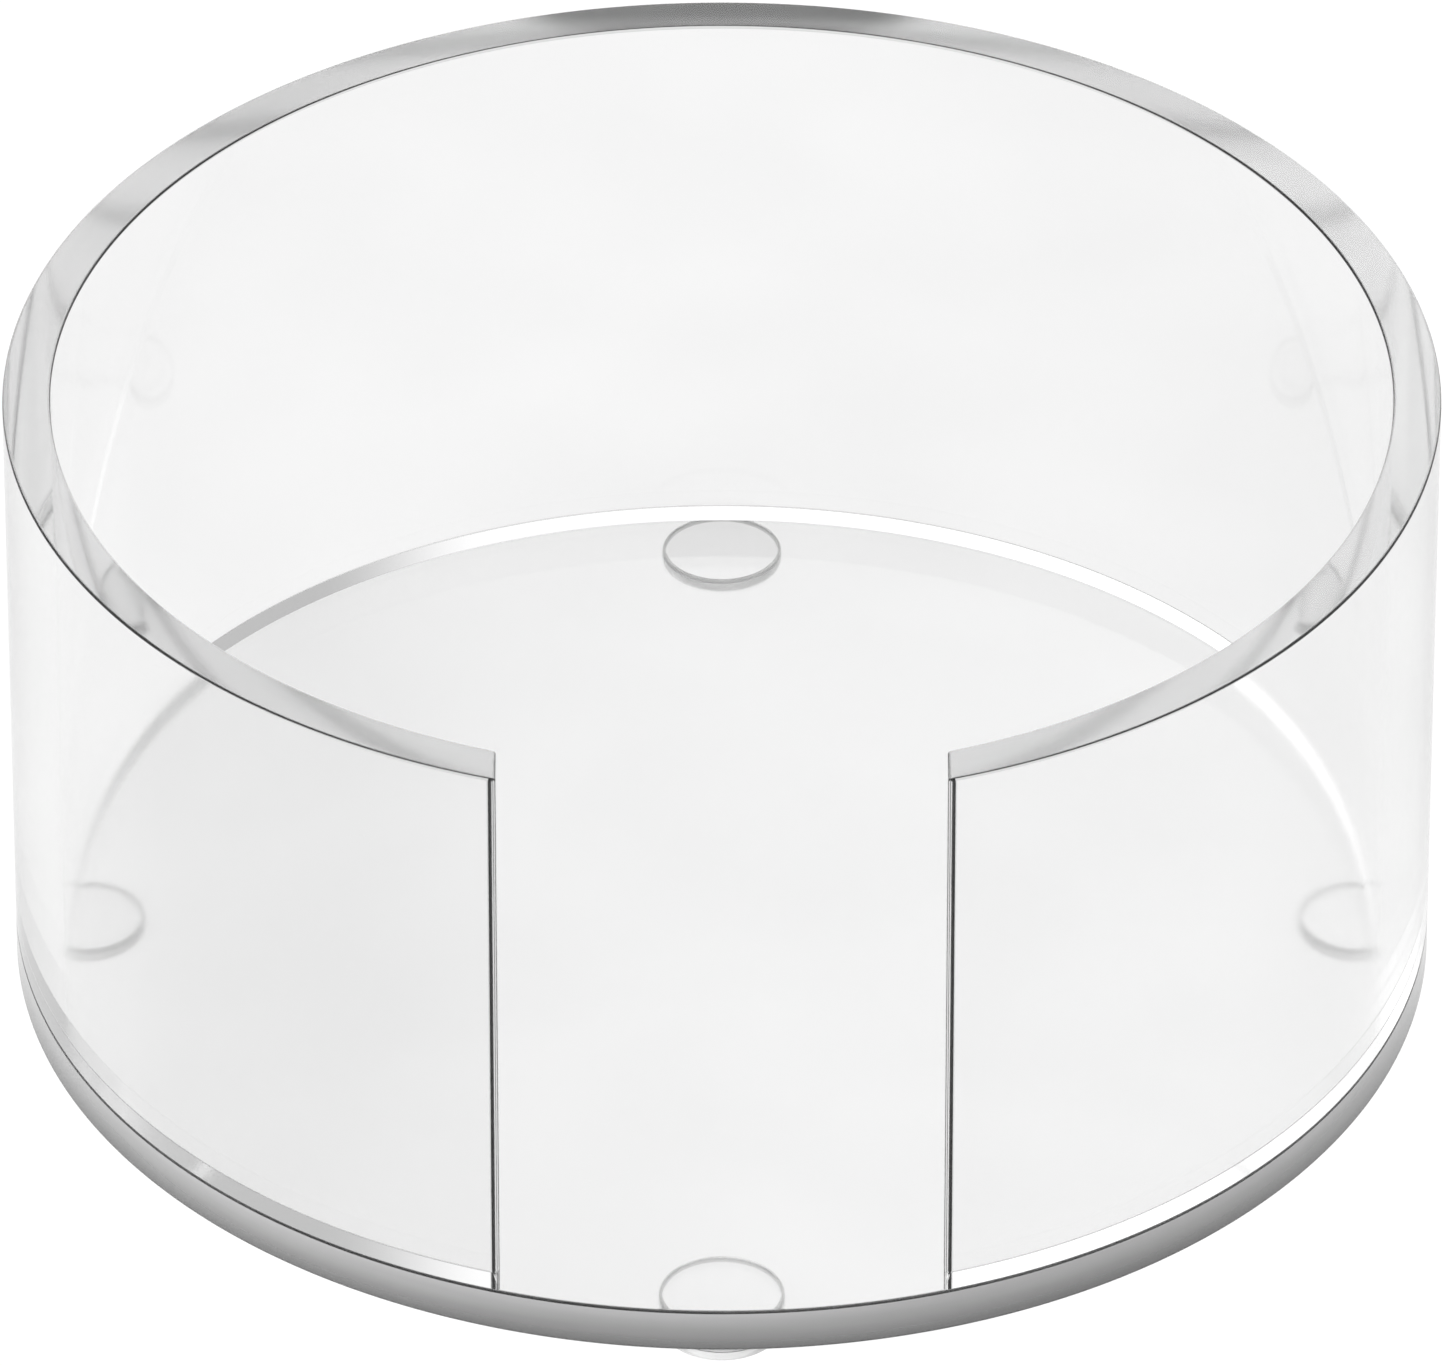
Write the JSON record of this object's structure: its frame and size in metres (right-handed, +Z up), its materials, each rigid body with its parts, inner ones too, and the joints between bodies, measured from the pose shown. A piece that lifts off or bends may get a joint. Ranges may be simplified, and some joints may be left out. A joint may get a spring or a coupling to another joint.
{
  "type": "round open-front holder",
  "caption": "Round holder in clear acrylic: a tube wall with a straight slot at the front stands on a disc base with bumper feet, to hold a stack of coasters.",
  "frame": {"origin": "on the table, under the middle of the base, at the level of the feet's bottom faces", "axes": "+Z up along the axis of the tube wall; -Y out of the open front; +X to the right seen from the front"},
  "size_m": [0.12, 0.12, 0.0567],
  "materials": {
    "acrylic": "clear, polished",
    "bumper": "clear, smooth, soft",
    "adhesive": "clear, tacky film"
  },
  "bodies": {
    "root": {"wall": "acrylic", "base": "acrylic", "foot_front": "bumper", "foot_back": "bumper", "foot_left": "bumper", "foot_right": "bumper", "adhesive_front": "adhesive", "adhesive_back": "adhesive", "adhesive_left": "adhesive", "adhesive_right": "adhesive"}
  },
  "joints": []
}
